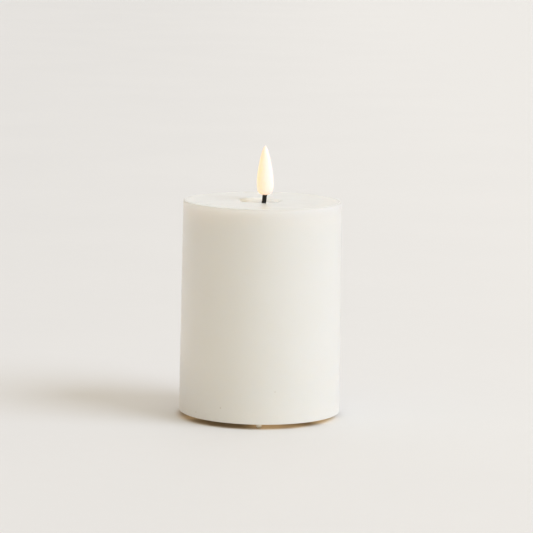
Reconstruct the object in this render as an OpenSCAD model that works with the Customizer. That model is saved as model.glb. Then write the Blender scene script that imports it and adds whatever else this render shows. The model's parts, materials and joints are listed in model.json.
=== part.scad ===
// Flameless LED candle: a hollow wax pillar over a plastic core and battery base,
// with a black wick carrying a translucent flame-shaped bulb.
// Frame: origin on the floor under the pillar's axis, +Z up, -Y the front. Millimetres.

/* [Wax pillar] */
// outside diameter of the wax at its bottom edge
candle_diameter = 75; // [72:0.5:78]
// how much narrower the wax is at its top edge
mould_draft = 1.7; // [0:0.1:3]
// height of the wax from bottom edge to top face
wax_height = 98.3; // [92:0.1:108]
// gap between the floor and the wax
floor_gap = 2.4; // [1.8:0.1:3]
// rounding of the top edge
rim_radius = 0.8; // [0.4:0.1:2]
// radius of the hollow melted round the wick
crater_radius = 11.05; // [8:0.1:16]
// depth of that hollow
crater_depth = 2.2; // [1:0.1:3]

/* [Wick and flame] */
// outside diameter of the wick
wick_diameter = 2.2; // [2:0.05:2.6]
// lean of the wick from upright, towards +X, in degrees
wick_lean = 6.26; // [4:0.1:8]
// visible wick between the wax surface and the flame
wick_show = 2.6; // [2:0.1:6]
// height of the flame bulb
flame_height = 22.7; // [20:0.1:26]
// greatest diameter of the flame bulb
flame_diameter = 7.86; // [7.6:0.02:9]
// height of the flame's widest place above its bottom
belly_height = 6.3; // [5:0.1:8]
// thickness of the flame's wall
flame_wall = 1.1; // [0.9:0.1:1.4]

/* [Base unit] */
// turn of the battery bay about the pillar's axis, in degrees
base_turn = 45; // [0:5:90]
// radius of the circle the feet stand on
foot_circle = 32.4; // [31.6:0.1:32.4]
// radius of one foot
foot_radius = 1.3; // [1:0.1:1.6]
// travel of the switch from ON to TIMER
switch_travel = 4; // [3:0.5:4]
// thickness of the base plate
plate_thickness = 2.2; // [2.2:0.1:2.4]

/* [View] */
// which piece to draw

/* [Hidden] */
$fn = 96;
over = 1;

// wax
wax_bottom = floor_gap;
wax_top = floor_gap + wax_height;
bottom_r = candle_diameter / 2;
top_r = bottom_r - mould_draft / 2;
bottom_edge = 0.3;
arc_steps = 6;
crater_floor_r = crater_radius - 2.3;
crater_floor = wax_top - crater_depth;
lower_bore_r = 33.1;
upper_bore_r = 28.1;
step_z = 25.6;
sleeve_gap = 0.1;
sleeve_top = wax_top - 12.6;
rebate_r = 34.4;
rebate_gap = 0.05;

// base plate, which everything underneath hangs from
plate_bottom = floor_gap + 0.4;
plate_top = plate_bottom + plate_thickness;
plate_r = 34.2;

// inner sleeve
sleeve_wall = 1;
skirt_r = 33;
tube_r = 28;
tube_wall = 1.2;
skirt_bottom = plate_top + 0.1;
collar_r = 4;
collar_bore_r = 3.05;
collar_height = 7;
boss_r = 2.4;
boss_pos = [16.2, 25.3];
boss_bottom = plate_top + 1.6;
boss_pilot_r = 1.25;

// battery bay: two AA cells side by side, in opposite directions
cell_r = 7.25;
cell_body = 49.5;
nub_r = 2.75;
nub_length = 1;
cell_y = 7.6;
cell_z = plate_bottom + 2.1 + cell_r;
cell_nub_tip = 27.2;
bay_x = 28;
bay_y = 15.3;
bay_corner_r = 30.3;
bay_roof = cell_z + cell_r + 0.25;
bay_wall = 1.4;
ear_thickness = 1.5;
ear_half = 2.3;
ear_reach = 27.6;
window_x = 27.8;
catch_half = 4;

// door
door_thickness = 1.6;
hinge_x = -26.6;
hinge_z = plate_bottom + 1.1;
hinge_barrel_r = 1.1;
trunnion_r = 0.8;
trunnion_tip = 16.6;
eye_r = 0.85;
eye_y = 15.1;
eye_wide = 2;
door_half_y = 14.6;
door_end = 26.8;

// latch, folded over at its top like a U
latch_x = 30.75;
latch_z = 12;
latch_bend_r = 0.8;
latch_half = 3.6;
tongue_x = 30;
strike_x = 31.8;

// slide switch and circuit board
switch_y = 22;
switch_at = -switch_travel / 2;
board_half = [12.8, 5];
board_y = 23;
board_bottom = plate_top + 4;
board_thickness = 1;
board_top = board_bottom + board_thickness;
post_x = 10.6;
post_y = 22;
switch_bottom = board_bottom - 3.1;
switch_half = [5.6, 2.5];

// wick
wick_r = wick_diameter / 2;
wick_bore_r = 0.65;
wick_cross_x = 1;
wick_cross_z = wax_top + 2;
flame_bottom = wax_top + wick_show;
wick_top = flame_bottom + 1.9;
wick_bottom = sleeve_top - 2;
flame_x = wick_x(flame_bottom + 1);
flame_tilt = -0.7;
led_r = 1.5;
led_bottom = flame_bottom + 2.2;
led_body = 3.4;

// wires
wire_r = 0.55;
wire_sides = 8;
lead_r = 0.2;
lead_pitch = 0.32;
lead_wire_r = 0.28;

// ---- helpers ----

function wick_x(z) = wick_cross_x + (z - wick_cross_z) * tan(wick_lean);

// points of a rounded corner, turning from angle a to angle b
function arc(cx, cy, r, a, b, n) =
    [for (i = [0:n]) [cx + r * cos(a + (b - a) * i / n), cy + r * sin(a + (b - a) * i / n)]];

// points along a cubic curve with two handles
function curve(p, q, r, s, n) =
    [for (i = [0:n]) let (t = i / n, u = 1 - t)
        u * u * u * p + 3 * u * u * t * q + 3 * u * t * t * r + t * t * t * s];

// a smooth run through way points, n steps between each pair
function way(p, i) = p[max(0, min(len(p) - 1, i))];
function smooth(p, n) = concat(
    [for (i = [0:len(p) - 2]) for (k = [0:n - 1])
        let (t = k / n, a = way(p, i - 1), b = way(p, i), c = way(p, i + 1), d = way(p, i + 2))
        0.5 * (2 * b + (c - a) * t + (2 * a - 5 * b + 4 * c - d) * t * t
            + (3 * b - a - 3 * c + d) * t * t * t)],
    [p[len(p) - 1]]);

function unit(v) = v / norm(v);
function heading(p, i) = unit(way(p, i + 1) - way(p, i - 1));
function flat(v, t) = unit(v - (v * t) * t);
function sides(p, i, last) =
    i == len(p) ? [] :
    let (v = flat(last, heading(p, i)))
    concat([v], sides(p, i + 1, v));

// a round wire of radius r along the points p
module wire(p, r, n, start = [0.31, 0.87, 0.38]) {
    m = len(p);
    s = sides(p, 0, flat(start, heading(p, 0)));
    rings = [for (i = [0:m - 1]) let (t = heading(p, i), b = cross(t, s[i])) for (k = [0:n - 1])
        p[i] + r * (cos(360 * k / n) * s[i] + sin(360 * k / n) * b)];
    walls = [for (i = [0:m - 2]) for (k = [0:n - 1]) let (j = (k + 1) % n)
        [i * n + k, (i + 1) * n + k, (i + 1) * n + j, i * n + j]];
    ends = [[for (k = [0:n - 1]) k], [for (k = [n - 1:-1:0]) (m - 1) * n + k]];
    polyhedron(rings, concat(walls, ends), convexity = 6);
}

module turned() {
    rotate([0, 0, base_turn]) children();
}

// along the wick's own leaning axis, measured from where it crosses a height
module on_wick(z) {
    translate([wick_x(z), 0, z]) rotate([0, wick_lean, 0]) children();
}

module at_corners(p) {
    for (x = [-p[0], p[0]]) for (y = [-p[1], p[1]]) translate([x, y, 0]) children();
}

module block(x, y, z) {
    translate([x[0], y[0], z[0]]) cube([x[1] - x[0], y[1] - y[0], z[1] - z[0]]);
}

module rod(r, z) {
    translate([0, 0, z[0]]) cylinder(r = r, h = z[1] - z[0]);
}

module rod_y(r, x, y, z) {
    translate([x, y[0], z]) rotate([-90, 0, 0]) cylinder(r = r, h = y[1] - y[0]);
}

// ---- wax ----

module wax_pillar() {
    color([0.94, 0.91, 0.85])
    difference() {
        rotate_extrude() polygon(concat(
            [[rebate_r, wax_bottom]],
            arc(bottom_r - bottom_edge, wax_bottom + bottom_edge, bottom_edge, -90, 0, arc_steps),
            arc(top_r - rim_radius, wax_top - rim_radius, rim_radius, 0, 90, arc_steps),
            [[crater_radius, wax_top],
             [crater_radius - 0.7, wax_top - 0.8],
             [crater_floor_r, crater_floor + 0.25],
             [crater_floor_r - 1.6, crater_floor],
             [0, crater_floor],
             [0, sleeve_top + collar_height + sleeve_gap],
             [collar_r + sleeve_gap, sleeve_top + collar_height + sleeve_gap],
             [collar_r + sleeve_gap, sleeve_top + sleeve_gap],
             [upper_bore_r, sleeve_top + sleeve_gap],
             [upper_bore_r, step_z + sleeve_gap],
             [lower_bore_r, step_z + sleeve_gap],
             [lower_bore_r, plate_top + rebate_gap],
             [rebate_r, plate_top + rebate_gap]]));
        on_wick(wax_top) translate([0, 0, -8]) cylinder(r = wick_r + 0.1, h = 12);
    }
}

// ---- flame and wick ----

function flame_outside() = concat(
    curve([flame_diameter / 6, 0], [flame_diameter * 0.485, 0],
          [flame_diameter / 2, belly_height / 2], [flame_diameter / 2, belly_height], 10),
    curve([flame_diameter / 2, belly_height + 0.2], [flame_diameter / 2, belly_height + 2.16],
          [flame_diameter * 0.312, flame_height * 0.865], [0.5, flame_height - 0.12], 14),
    [[0.3, flame_height - 0.02], [0, flame_height]]);

function flame_inside() =
    let (r = flame_diameter / 2 - flame_wall, low = flame_wall, high = flame_height - 3.4)
    concat(
        curve([0.4, low], [r * 0.9, low], [r, belly_height / 2 + low / 2], [r, belly_height], 6),
        curve([r, belly_height + 0.2], [r, belly_height + 2], [r * 0.62, high * 0.86], [0.25, high], 8),
        [[0, high], [0, low]]);

module flame_bulb() {
    color([1, 0.9, 0.66, 0.8])
    difference() {
        translate([flame_x, 0, flame_bottom]) rotate([0, flame_tilt, 0]) difference() {
            rotate_extrude() polygon(concat(flame_outside(), [[0, 0]]));
            rotate_extrude() polygon(flame_inside());
        }
        on_wick(flame_bottom) translate([0, 0, -over]) cylinder(r = wick_r + 0.05, h = 3.1);
    }
}

module wick_tube() {
    color([0.06, 0.05, 0.05])
    on_wick(wick_bottom) difference() {
        cylinder(r = wick_r, h = (wick_top - wick_bottom) / cos(wick_lean));
        translate([0, 0, -over]) cylinder(r = wick_bore_r, h = wick_top);
    }
}

module flame_led() {
    color([1, 0.86, 0.5])
    on_wick(led_bottom) {
        cylinder(r = led_r + 0.25, h = 0.8);
        cylinder(r = led_r, h = led_body);
        translate([0, 0, led_body]) sphere(r = led_r);
    }
}

module led_legs() {
    color([0.8, 0.8, 0.8])
    on_wick(wick_bottom - 1.2) for (x = [-lead_pitch, lead_pitch]) translate([x, 0, 0])
        cylinder(r = lead_r, h = (led_bottom - wick_bottom + 1.2) / cos(wick_lean) - 0.02);
}

module wick_holder() {
    color([0.9, 0.9, 0.88])
    difference() {
        union() {
            rod(collar_bore_r - 0.05, [sleeve_top - 2.2, sleeve_top + collar_height - 0.05]);
            rod(5, [sleeve_top - 2.6, sleeve_top - tube_wall - 0.05]);
        }
        on_wick(wick_bottom) translate([0, 0, -over - 1.6]) cylinder(r = wick_r + 0.05, h = 14);
    }
}

// ---- inner sleeve, cast into the wax ----

module inner_sleeve() {
    color([0.95, 0.95, 0.93])
    turned() difference() {
        union() {
            rotate_extrude() polygon([
                [skirt_r - sleeve_wall, skirt_bottom],
                [skirt_r, skirt_bottom],
                [skirt_r, step_z],
                [tube_r, step_z],
                [tube_r, sleeve_top],
                [collar_r, sleeve_top],
                [collar_r, sleeve_top + collar_height],
                [collar_bore_r, sleeve_top + collar_height],
                [collar_bore_r, sleeve_top - tube_wall],
                [tube_r - tube_wall, sleeve_top - tube_wall],
                [tube_r - tube_wall, step_z - tube_wall],
                [skirt_r - sleeve_wall, step_z - tube_wall]]);
            at_corners(boss_pos) rod(boss_r, [boss_bottom, step_z - 0.6]);
        }
        at_corners(boss_pos) rod(boss_pilot_r, [boss_bottom - over, plate_top + 12.5]);
        block([skirt_r - 4, skirt_r + over], [-catch_half - 0.6, catch_half + 0.6],
            [skirt_bottom - over, latch_z + 1.6]);
    }
}

// ---- base plate with its feet ----

module foot() {
    rotate_extrude() polygon(concat(
        [[0, 0], [foot_radius - 0.9, 0]],
        arc(foot_radius - 0.9, 0.9, 0.9, -90, 0, 5),
        [[foot_radius, plate_bottom + 0.4], [0, plate_bottom + 0.4]]), $fn = 48);
}

module base_plate() {
    color([0.93, 0.9, 0.83])
    turned() difference() {
        union() {
            rotate_extrude() polygon([
                [0, plate_bottom],
                [plate_r - 0.4, plate_bottom],
                [plate_r, plate_bottom + 0.4],
                [plate_r, plate_top],
                [0, plate_top]]);
            for (a = [45:90:315]) rotate([0, 0, a]) translate([foot_circle, 0, 0]) foot();
            for (x = [-post_x, post_x]) translate([x, post_y, 0])
                rod(1.9, [plate_bottom + 1, board_bottom - 0.02]);
            // lugs for the hinge eyes
            intersection() {
                for (s = [-1, 1])
                    block([hinge_x - 2, hinge_x + 2],
                        s > 0 ? [eye_y - 0.2, eye_y + eye_wide] : [-eye_y - eye_wide, 0.2 - eye_y],
                        [plate_bottom, hinge_z + 2]);
                rod(skirt_r - sleeve_wall - 0.2, [0, 20]);
            }
        }
        // battery opening, latch notch and the gap for the tongue
        block([hinge_x - 1.6, window_x], [-15, 15], [0, 20]);
        block([window_x - over, strike_x], [-catch_half, catch_half], [0, 20]);
        // hinge eyes
        rod_y(eye_r, hinge_x, [-17.4, 17.4], hinge_z);
        // screws up into the sleeve's bosses
        at_corners(boss_pos) rod(1.4, [0, plate_top + over]);
        at_corners(boss_pos) rod(2.6, [0, plate_bottom + 1.2]);
        // board posts
        for (x = [-post_x, post_x]) translate([x, post_y, 0])
            rod(0.85, [plate_bottom + 1.4, board_top]);
        // finger pocket and slot of the switch
        block([-6.6, 6.6], [switch_y - 2.7, switch_y + 2.7], [0, plate_bottom + 0.8]);
        block([-4.15, 4.15], [switch_y - 1.3, switch_y + 1.3], [0, plate_top + over]);
    }
}

// ---- battery bay ----

module bay_outline(x, y, r) {
    intersection() {
        square([2 * x, 2 * y], center = true);
        circle(r = r);
    }
}

module battery_housing() {
    color([0.2, 0.2, 0.21])
    turned() difference() {
        union() {
            translate([0, 0, plate_top]) linear_extrude(bay_roof + bay_wall - plate_top)
                bay_outline(bay_x + bay_wall, bay_y + bay_wall, bay_corner_r + bay_wall);
            intersection() {
                for (x = [-boss_pos[0], boss_pos[0]])
                    block([x - ear_half, x + ear_half], [-ear_reach, ear_reach],
                        [plate_top, plate_top + ear_thickness]);
                rod(skirt_r - sleeve_wall - 0.2, [0, 20]);
            }
        }
        translate([0, 0, plate_top - over]) linear_extrude(bay_roof - plate_top + over)
            bay_outline(bay_x, bay_y, bay_corner_r);
        at_corners(boss_pos) rod(1.4, [plate_top - over, plate_top + ear_thickness + over]);
        // room for the hinge eyes and the latch's tongue
        for (s = [-1, 1]) block([hinge_x - 2.2, hinge_x + 2.2],
            s > 0 ? [bay_y - 0.5, eye_y + eye_wide + 0.2] : [-eye_y - eye_wide - 0.2, 0.5 - bay_y],
            [plate_top - over, hinge_z + 2.2]);
        // slots for the contacts' solder tails
        for (x = [-1, 1]) for (y = [-1, 1])
            block(x > 0 ? [27.2, 28] : [-28, -27.2], [y * cell_y - 1.4, y * cell_y + 1.4],
                [bay_roof - over, bay_roof + bay_wall + over]);
    }
}

module cell() {
    translate([cell_nub_tip - nub_length, cell_y, cell_z]) rotate([0, -90, 0]) {
        translate([0, 0, 0.6]) cylinder(r = cell_r, h = cell_body - 1.2);
        cylinder(r1 = cell_r - 0.6, r2 = cell_r, h = 0.6);
        translate([0, 0, cell_body - 0.6]) cylinder(r1 = cell_r, r2 = cell_r - 0.6, h = 0.6);
        translate([0, 0, -nub_length]) cylinder(r = nub_r, h = nub_length + 0.4);
    }
}

module battery_a() {
    color([0.13, 0.14, 0.16]) turned() cell();
}

module battery_b() {
    color([0.13, 0.14, 0.16]) turned() rotate([0, 0, 180]) cell();
}

// flat contact at the +x end of the bay on side s; tall adds its solder tail
module contact_blade(s, tail) {
    y = s * cell_y;
    block([27.4, 27.8], [y - 4, y + 4], [cell_z - 5.5, cell_z + 5.5]);
    if (tail) block([27.4, 27.8], [y - 1.1, y + 1.1], [cell_z + 5, bay_roof + bay_wall + 1.8]);
}

// wire-wound spring between a blade and the flat end of a cell
module cell_spring(s) {
    turns = 3.5;
    steps = 42;
    x_low = cell_nub_tip - nub_length - 2.9;
    x_high = 27.1;
    p = [for (i = [0:steps]) let (t = i / steps, r = 2.6 + 1.8 * t)
        [x_low + 0.32 + (x_high - x_low - 0.32) * t,
            s * cell_y + r * cos(360 * turns * t),
            cell_z + r * sin(360 * turns * t)]];
    wire(p, 0.28, 6);
}

module positive_contact() {
    color([0.8, 0.79, 0.75]) turned() union() {
        contact_blade(1, true);
        translate([27.35, cell_y, cell_z]) rotate([0, 90, 0]) cylinder(r1 = 1.9, r2 = 2.4, h = 0.25);
    }
}

module negative_contact() {
    color([0.8, 0.79, 0.75]) turned() contact_blade(-1, true);
}

module negative_spring() {
    color([0.8, 0.79, 0.75]) turned() cell_spring(-1);
}

module bridge_contact() {
    color([0.8, 0.79, 0.75]) turned() rotate([0, 0, 180]) {
        contact_blade(1, false);
        contact_blade(-1, false);
        block([27.4, 27.8], [-cell_y, cell_y], [cell_z - 5.5, cell_z - 2]);
    }
}

module bridge_spring() {
    color([0.8, 0.79, 0.75]) turned() rotate([0, 0, 180]) cell_spring(-1);
}

// ---- battery door and its latch ----

module battery_door() {
    color([0.93, 0.9, 0.83])
    turned() difference() {
        union() {
            block([hinge_x - 0.9, door_end], [-door_half_y, door_half_y],
                [plate_bottom, plate_bottom + door_thickness]);
            // hinge barrels and trunnions
            for (s = [-1, 1]) {
                rod_y(hinge_barrel_r, hinge_x, s > 0 ? [12.4, door_half_y] : [-door_half_y, -12.4], hinge_z);
                rod_y(trunnion_r, hinge_x, s > 0 ? [13, trunnion_tip] : [-trunnion_tip, -13], hinge_z);
            }
            // tongue and the fixed leg of the latch
            block([door_end - over, tongue_x], [-latch_half, latch_half],
                [plate_bottom, plate_bottom + door_thickness]);
            block([tongue_x - 0.5, tongue_x], [-latch_half, latch_half], [plate_bottom, latch_z + 0.7]);
        }
        rod_y(latch_bend_r + 0.05, latch_x, [-latch_half - over, latch_half + over], latch_z);
        // finger dish beside the latch
        translate([door_end - 5, 0, plate_bottom - 10.4]) sphere(r = 11.2);
        // shallow grip grooves across the middle
        for (x = [-2:2]) block([x * 2.2 - 4.4, x * 2.2 - 3.6], [-6, 6], [0, plate_bottom + 0.4]);
    }
}

module door_latch() {
    color([0.93, 0.9, 0.83])
    turned() union() {
        rod_y(latch_bend_r, latch_x, [-latch_half, latch_half], latch_z);
        block([latch_x + 0.2, latch_x + latch_bend_r], [-latch_half, latch_half], [plate_bottom, latch_z]);
        block([latch_x + 0.5, strike_x + 0.4], [-latch_half, latch_half],
            [plate_top + 0.1, plate_top + 0.9]);
    }
}

// ---- circuit board and switch ----

module circuit_board() {
    color([0.1, 0.35, 0.2])
    turned() difference() {
        translate([0, board_y, 0])
            block([-board_half[0], board_half[0]], [-board_half[1], board_half[1]],
                [board_bottom, board_top]);
        for (x = [-post_x, post_x]) translate([x, post_y, 0]) rod(1.05, [0, board_top + over]);
        for (x = [-4, 4]) for (y = [-1, 1]) translate([x, switch_y + y, 0])
            rod(0.45, [0, board_top + over]);
    }
}

module controller_chip() {
    color([0.08, 0.08, 0.09])
    turned() translate([-2.5, 25.4, 0]) {
        block([-2.5, 2.5], [-1.95, 1.95], [board_top + 0.25, board_top + 1.75]);
        for (x = [-1.905:1.27:1.905])
            block([x - 0.2, x + 0.2], [-2.1, 2.1], [board_top + 0.05, board_top + 0.45]);
    }
}

module timing_crystal() {
    color([0.8, 0.8, 0.82])
    turned() translate([3.2, 25.6, board_top + 1.15]) rotate([0, 90, 0]) cylinder(r = 1, h = 5.4);
}

module smoothing_capacitor() {
    color([0.12, 0.16, 0.3])
    turned() translate([-9.2, 25.8, 0]) union() {
        rod(2, [board_top + 0.05, board_top + 5.2]);
        rod(1.7, [board_top + 5, board_top + 5.4]);
    }
}

module board_resistors() {
    color([0.1, 0.1, 0.1])
    turned() for (x = [1.9, 4.2, 6.5]) translate([x, 19, 0])
        block([-0.65, 0.65], [-0.6, 0.6], [board_top + 0.03, board_top + 0.5]);
}

module switch_body() {
    color([0.75, 0.75, 0.76])
    turned() translate([0, switch_y, 0]) difference() {
        block([-switch_half[0], switch_half[0]], [-switch_half[1], switch_half[1]],
            [switch_bottom, board_bottom - 0.05]);
        block([-4.6, 4.6], [-1.8, 1.8], [switch_bottom + 0.4, switch_bottom + 2.5]);
        block([-3.1, 3.1], [-0.8, 0.8], [0, switch_bottom + 1]);
    }
}

module switch_terminals() {
    color([0.8, 0.79, 0.75])
    turned() for (x = [-4, 4]) for (y = [-1, 1]) translate([x, switch_y + y, 0])
        rod(0.32, [board_bottom - 0.02, board_top + 0.7]);
}

module switch_slider() {
    color([0.1, 0.1, 0.1])
    turned() translate([switch_at, switch_y, 0]) union() {
        block([-2.2, 2.2], [-1.7, 1.7], [switch_bottom + 0.5, switch_bottom + 2.3]);
        block([-0.8, 0.8], [-0.7, 0.7], [plate_bottom + 1.4, switch_bottom + 0.9]);
    }
}

module switch_knob() {
    color([0.97, 0.96, 0.93])
    turned() translate([switch_at, switch_y, 0]) difference() {
        union() {
            block([-1.8, 1.8], [-1.15, 1.15], [floor_gap - 0.6, plate_top + 0.3]);
            block([-2.9, 2.9], [-2.1, 2.1], [plate_top + 0.1, switch_bottom - 0.1]);
        }
        block([-0.87, 0.87], [-0.77, 0.77], [plate_bottom + 1.3, switch_bottom + over]);
        for (x = [-1.1, 0, 1.1]) block([x - 0.2, x + 0.2], [-over * 2, over * 2], [0, floor_gap - 0.3]);
    }
}

// ---- screws ----

module screw(head_r, head_h, shank_r, shank_h) {
    difference() {
        union() {
            cylinder(r = head_r, h = head_h, $fn = 48);
            cylinder(r = shank_r, h = head_h + shank_h - 0.8, $fn = 32);
            translate([0, 0, head_h + shank_h - 0.8]) cylinder(r1 = shank_r, r2 = 0.3, h = 0.8, $fn = 32);
        }
        for (a = [0, 90]) rotate([0, 0, a]) translate([-head_r * 0.6, -0.25, -over])
            cube([head_r * 1.2, 0.5, over + head_h * 0.6]);
    }
}

module housing_screws() {
    color([0.72, 0.72, 0.74])
    turned() at_corners(boss_pos) translate([0, 0, plate_bottom + 0.15]) screw(2.3, 1, 1.2, 12);
}

module board_screws() {
    color([0.72, 0.72, 0.74])
    turned() for (x = [-post_x, post_x]) translate([x, post_y, board_top + 1.15])
        mirror([0, 0, 1]) screw(1.7, 1.1, 0.8, 5);
}

// ---- wires ----

tail_z = bay_roof + bay_wall + 1.3;

module battery_wire_red() {
    color([0.75, 0.1, 0.08])
    turned() wire(smooth([
        [26.6, cell_y, tail_z],
        [25, cell_y + 0.4, tail_z + 0.3],
        [20, 12, bay_roof + bay_wall + 0.75],
        [12.8, 16.6, bay_roof + bay_wall + 0.7],
        [10.8, 18.6, bay_roof - 1.5],
        [10, 19.4, board_top + 5],
        [8.6, 19.2, board_top + 1]], 5), wire_r, wire_sides);
}

module battery_wire_black() {
    color([0.08, 0.08, 0.08])
    turned() wire(smooth([
        [26.6, -cell_y, tail_z],
        [24.6, -cell_y + 0.4, tail_z + 0.3],
        [18, -2, bay_roof + bay_wall + 0.75],
        [8, 10, bay_roof + bay_wall + 0.75],
        [1.5, 16.8, bay_roof + bay_wall + 0.5],
        [-0.5, 18.6, bay_roof - 2],
        [-1, 19.6, board_top + 5],
        [-1, 19.4, board_top + 1]], 5), wire_r, wire_sides);
}

// from the board up the inside of the sleeve to one leg of the LED
module led_wire(x, leg) {
    top = wick_bottom - 1.25;
    back = [wick_x(top) * cos(base_turn), -wick_x(top) * sin(base_turn)];
    turned() wire(smooth([
        [x, 19, board_top + 1],
        [x, 19.8, board_top + 4],
        [x, 22.6, step_z],
        [x, 24, step_z + 12],
        [x * 0.8, 24.2, (step_z + top) / 2],
        [x * 0.8, 23.6, top - 14],
        [x * 0.6, 19.5, top - 5.5],
        [back[0] + leg * 0.7 - 0.6, 9, top - 3.6],
        [back[0] + leg * 0.6, back[1] + leg * 0.3 + 0.6, top - 2.2],
        [back[0] + leg * lead_pitch * cos(base_turn), back[1] - leg * lead_pitch * sin(base_turn), top]
    ], 4),
        lead_wire_r, wire_sides);
}

module led_wire_red() {
    color([0.75, 0.1, 0.08]) led_wire(-5.2, 1);
}

module led_wire_black() {
    color([0.08, 0.08, 0.08]) led_wire(-7, -1);
}

// ---- draw ----

wax_pillar();
flame_bulb();
wick_tube();
flame_led();
led_legs();
wick_holder();
inner_sleeve();
base_plate();
battery_housing();
battery_door();
door_latch();
battery_a();
battery_b();
positive_contact();
negative_contact();
negative_spring();
bridge_contact();
bridge_spring();
circuit_board();
controller_chip();
timing_crystal();
smoothing_capacitor();
board_resistors();
switch_body();
switch_terminals();
switch_slider();
switch_knob();
housing_screws();
board_screws();
battery_wire_red();
battery_wire_black();
led_wire_red();
led_wire_black();
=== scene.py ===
"""Looks of the flameless LED candle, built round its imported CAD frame. Metres, +Z up, -Y the front."""

import functools
import json
import math

import bmesh
import bpy
from mathutils import Matrix, Vector, noise


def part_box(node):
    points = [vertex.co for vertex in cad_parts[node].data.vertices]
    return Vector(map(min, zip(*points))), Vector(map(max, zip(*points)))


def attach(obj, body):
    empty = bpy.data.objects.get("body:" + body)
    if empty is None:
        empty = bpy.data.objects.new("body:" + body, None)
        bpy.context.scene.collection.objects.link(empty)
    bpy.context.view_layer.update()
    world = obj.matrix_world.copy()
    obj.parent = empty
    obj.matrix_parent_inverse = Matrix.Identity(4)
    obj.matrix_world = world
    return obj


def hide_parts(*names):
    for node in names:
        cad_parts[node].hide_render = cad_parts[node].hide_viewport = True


MM = 0.001

# camera: place and aim in metres, roll in degrees, lens in mm
CAMERA_AT = (0.0, -1.2507, 0.2456)
CAMERA_AIM = (0.00233, 0.0, 0.06974)
CAMERA_ROLL = 0.925
CAMERA_LENS = 183.8

# wax pillar, beyond what its CAD box says, in mm
TOP_EDGE_RADIUS = 36.65
RIM_RADIUS = 0.8
BOTTOM_EDGE = 0.08
CRATER_RADIUS = 11.05
CRATER_DEPTH = 1.9
REBATE_RADIUS = 34.4
REBATE_TOP = 5.05
LOWER_BORE = 33.1
LOWER_BORE_TOP = 25.7
UPPER_BORE = 28.1
UPPER_BORE_TOP = 88.2
COLLAR_BORE = 4.1
COLLAR_TOP = 95.2
WAX_TURNS = 256

# unevenness of the poured wax, in mm: of the side, of the top face and of the hollow's edge
SIDE_DENT = 0.035
FACE_DROP = 0.05
CRATER_WOBBLE = 0.35
# marks of trimming near the rim: how deep chips and fine marks are everywhere, and how much deeper on one side
RIM_ZONE = 2.2
RIM_CHIPS = (0.03, 0.26)
RIM_MARKS = (0.01, 0.09)
RIM_ROUGHEST = math.radians(205)
# the hollow round the wick is silted up on one side: how much on average, how much it swings round the
# hollow, the most anywhere, and over what radii in mm it begins
SILTED_SIDE = math.radians(12)
SILTED_MEAN = 0.3
SILTED_SWING = 0.9
SILTED_MOST = 0.97
SILTED_FROM = 1.5
SILTED_OVER = 8.0
# how far round the middle the wick's hole is sheared, and over what width that fades
LEAN_REACH = 3.0
LEAN_FADE = 1.4

# base colours of the wax: two slow tones of the side, then one for each zone of it
WAX_LIGHT = (0.832, 0.811, 0.770)
WAX_DARK = (0.827, 0.804, 0.761)
# painted light: a paler band up the left edge of the side
WAX_LEFT_EDGE_PAINTED_LIGHT = (0.880, 0.858, 0.815)
# painted shade: darker low on the left side
WAX_FOOT_PAINTED_SHADE = (0.745, 0.725, 0.695)
# painted shading under the top, on the left and on the lit right, where it is darker
WAX_SHOULDER_PAINTED_SHADING_LEFT = (0.815, 0.798, 0.781)
WAX_SHOULDER_PAINTED_SHADING_RIGHT = (0.765, 0.755, 0.742)
# painted shade on the rim, on the left and on the lit right, where it is darker
WAX_RIM_PAINTED_SHADE_LEFT = (0.780, 0.762, 0.722)
WAX_RIM_PAINTED_SHADE_RIGHT = (0.742, 0.722, 0.686)
WAX_FACE = (0.842, 0.817, 0.757)
# painted shade deep in the hollow
WAX_POOL_PAINTED_SHADE = (0.80, 0.78, 0.735)
WAX_SPECK = (0.56, 0.50, 0.41)
WAX_SCATTER = (1.0, 0.78, 0.55)
WAX_SCATTER_DEPTH = 0.010
WAX_ROUGH = 0.33
WAX_FACE_ROUGH = 0.24
WAX_RIM_ROUGH = 0.65
WAX_POOL_ROUGH = 0.42
# heights of the zones of the side in mm, over the foot or under the top, and x from where to where they fade
FOOT_HEIGHT = 26
FOOT_ACROSS = (-37, 0)
PAINTED_LIGHT_FROM, PAINTED_LIGHT_FULL = 16, 40
PAINTED_LIGHT_ACROSS = (-37.5, -29)
SHOULDER_HEIGHT = 8
SHOULDER_ACROSS = (-20, 20)
RIM_ACROSS = (-22, 4)
FACE_REACH = 3
POOL_FROM, POOL_FULL = 0.3, 1.4
# over what width inside the rim, and what height over the foot, scattering fades out
RIM_SOLID = 4
FOOT_SOLID = 3.5

# specks caught in the skin of the wax: place in mm and strength, and the radii where one is full and gone
SPECK_FULL, SPECK_GONE = 0.15, 0.55
SPECKS = [
    ((-17.7, -33.1, 9.0), 0.65), ((-29.1, -23.7, 5.1), 0.55), ((19.8, -31.9, 97.5), 0.45),
    ((-30.6, -18.8, 99.9), 0.55), ((-24.0, -26.6, 100.2), 0.55), ((-18.3, -32.7, 69.0), 0.3),
    ((-13.8, -34.9, 46.5), 0.35), ((7.1, -36.8, 17.5), 0.4), ((33.1, -17.6, 50.0), 0.25),
    ((-24.5, -28.4, 60.5), 0.25), ((-23.5, -29.2, 58.5), 0.3), ((-22.2, -30.2, 57.0), 0.2),
]
# the scatter of fine specks: size of its cells in mm, how many of them have one, and its size in a cell
SCATTER_CELL = 6.5
SCATTER_CHOSEN = (0.92, 0.95)
SCATTER_DOT = (0.022, 0.04)

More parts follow.
